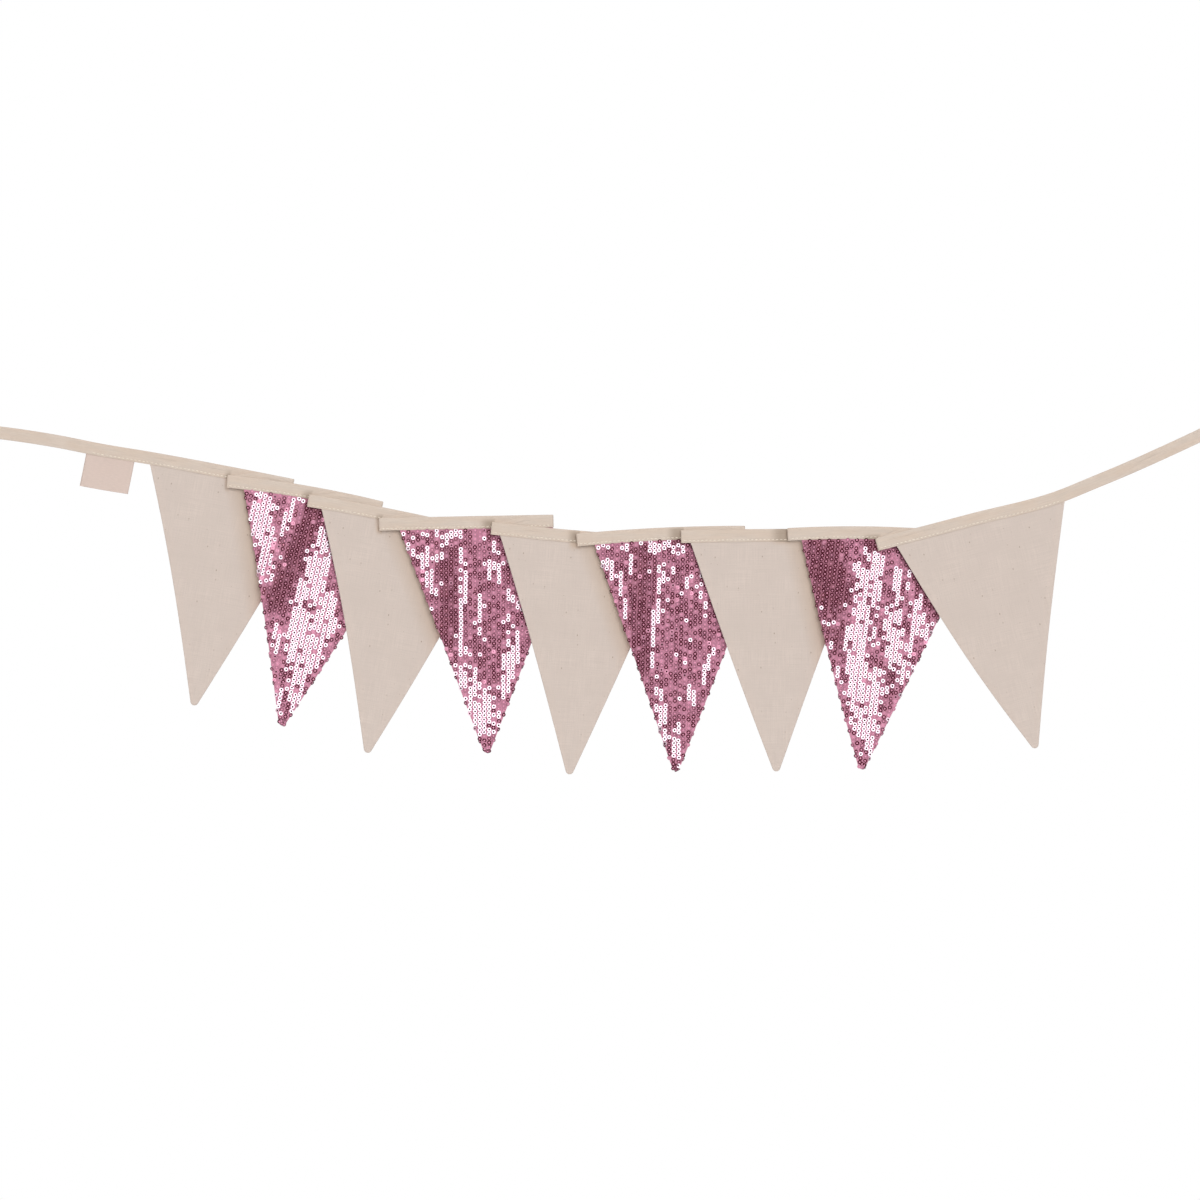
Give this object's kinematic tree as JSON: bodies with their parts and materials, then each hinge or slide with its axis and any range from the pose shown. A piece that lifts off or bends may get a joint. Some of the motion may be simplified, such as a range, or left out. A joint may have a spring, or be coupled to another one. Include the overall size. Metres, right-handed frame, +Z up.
{
  "type": "sequin garland",
  "caption": "Hanging bunting garland: triangular pennants of plain cotton and of pink sequin cloth in turn, sewn along one folded cotton tape that is tied at both ends.",
  "frame": {"origin": "middle of the cut left end of the tape, where the garland is tied up", "axes": "+X along the garland from its left tie end to its right one, +Z up, -Y towards the side that is looked at"},
  "size_m": [1.0542, 0.0116, 0.3011],
  "materials": {
    "tape_cotton": "unbleached cotton tape folded lengthwise, matt plain weave, cream stitching along its lower edge",
    "plain_cotton": "unbleached cotton with small dark seed flecks, matt plain weave",
    "sequin_cloth": "pink cloth covered with rows of small glossy round sequins",
    "label_cloth": "pale pinkish satin label, bare, slight sheen"
  },
  "bodies": {
    "root": {"tape": "tape_cotton", "label": "label_cloth", "pennant_1_cotton": "plain_cotton", "pennant_2_sequin": "sequin_cloth", "pennant_3_cotton": "plain_cotton", "pennant_4_sequin": "sequin_cloth", "pennant_5_cotton": "plain_cotton", "pennant_6_sequin": "sequin_cloth", "pennant_7_cotton": "plain_cotton", "pennant_8_sequin": "sequin_cloth", "pennant_9_cotton": "plain_cotton"}
  },
  "joints": []
}
